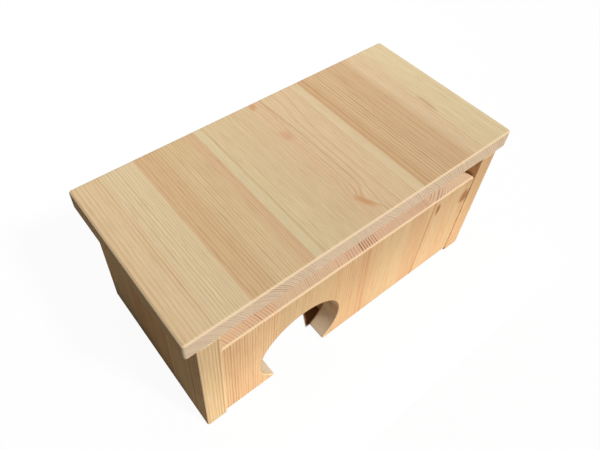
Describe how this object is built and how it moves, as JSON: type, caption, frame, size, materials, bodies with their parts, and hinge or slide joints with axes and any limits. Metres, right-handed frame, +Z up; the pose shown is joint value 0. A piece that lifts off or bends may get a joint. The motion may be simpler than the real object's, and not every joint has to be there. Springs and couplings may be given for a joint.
{
  "type": "wooden hamster house",
  "caption": "Small-pet hideout of glued pine board: flat lift-off lid over a slotted body with an arched doorway and an inner partition.",
  "frame": {"origin": "on the floor, under the middle of the lid", "axes": "+X along the length, -Y out of the doorway, +Z up"},
  "size_m": [0.32, 0.155, 0.15],
  "materials": {
    "pine_lid": "sanded bare wood",
    "pine_batten": "sanded bare wood",
    "pine_front": "sanded bare wood",
    "pine_back": "sanded bare wood",
    "pine_partition": "sanded bare wood",
    "pine_end": "sanded bare wood",
    "beech_dowel": "sanded bare wood"
  },
  "bodies": {
    "house": {"back_stave_1": "pine_back", "back_stave_2": "pine_back", "back_stave_3": "pine_back", "back_stave_4": "pine_back", "back_stave_5": "pine_back", "front_stave_1": "pine_front", "front_stave_2": "pine_front", "front_stave_3": "pine_front", "front_stave_4": "pine_front", "front_stave_5": "pine_front", "left_corner_dowels": "beech_dowel", "left_end_stave_1": "pine_end", "left_end_stave_2": "pine_end", "left_end_stave_3": "pine_end", "partition_dowels": "beech_dowel", "partition_stave_1": "pine_partition", "partition_stave_2": "pine_partition", "right_corner_dowels": "beech_dowel", "right_end_stave_1": "pine_end", "right_end_stave_2": "pine_end", "right_end_stave_3": "pine_end"},
    "lid": {"batten_dowels": "beech_dowel", "lid_batten_left": "pine_batten", "lid_batten_right": "pine_batten", "lid_stave_1": "pine_lid", "lid_stave_2": "pine_lid", "lid_stave_3": "pine_lid", "lid_stave_4": "pine_lid", "lid_stave_5": "pine_lid", "lid_stave_6": "pine_lid"}
  },
  "joints": [
    {"name": "lid_lift", "type": "slide", "parent": "house", "child": "lid", "axis": [0, 0, 1], "range_m": [0, 0.12]}
  ]
}
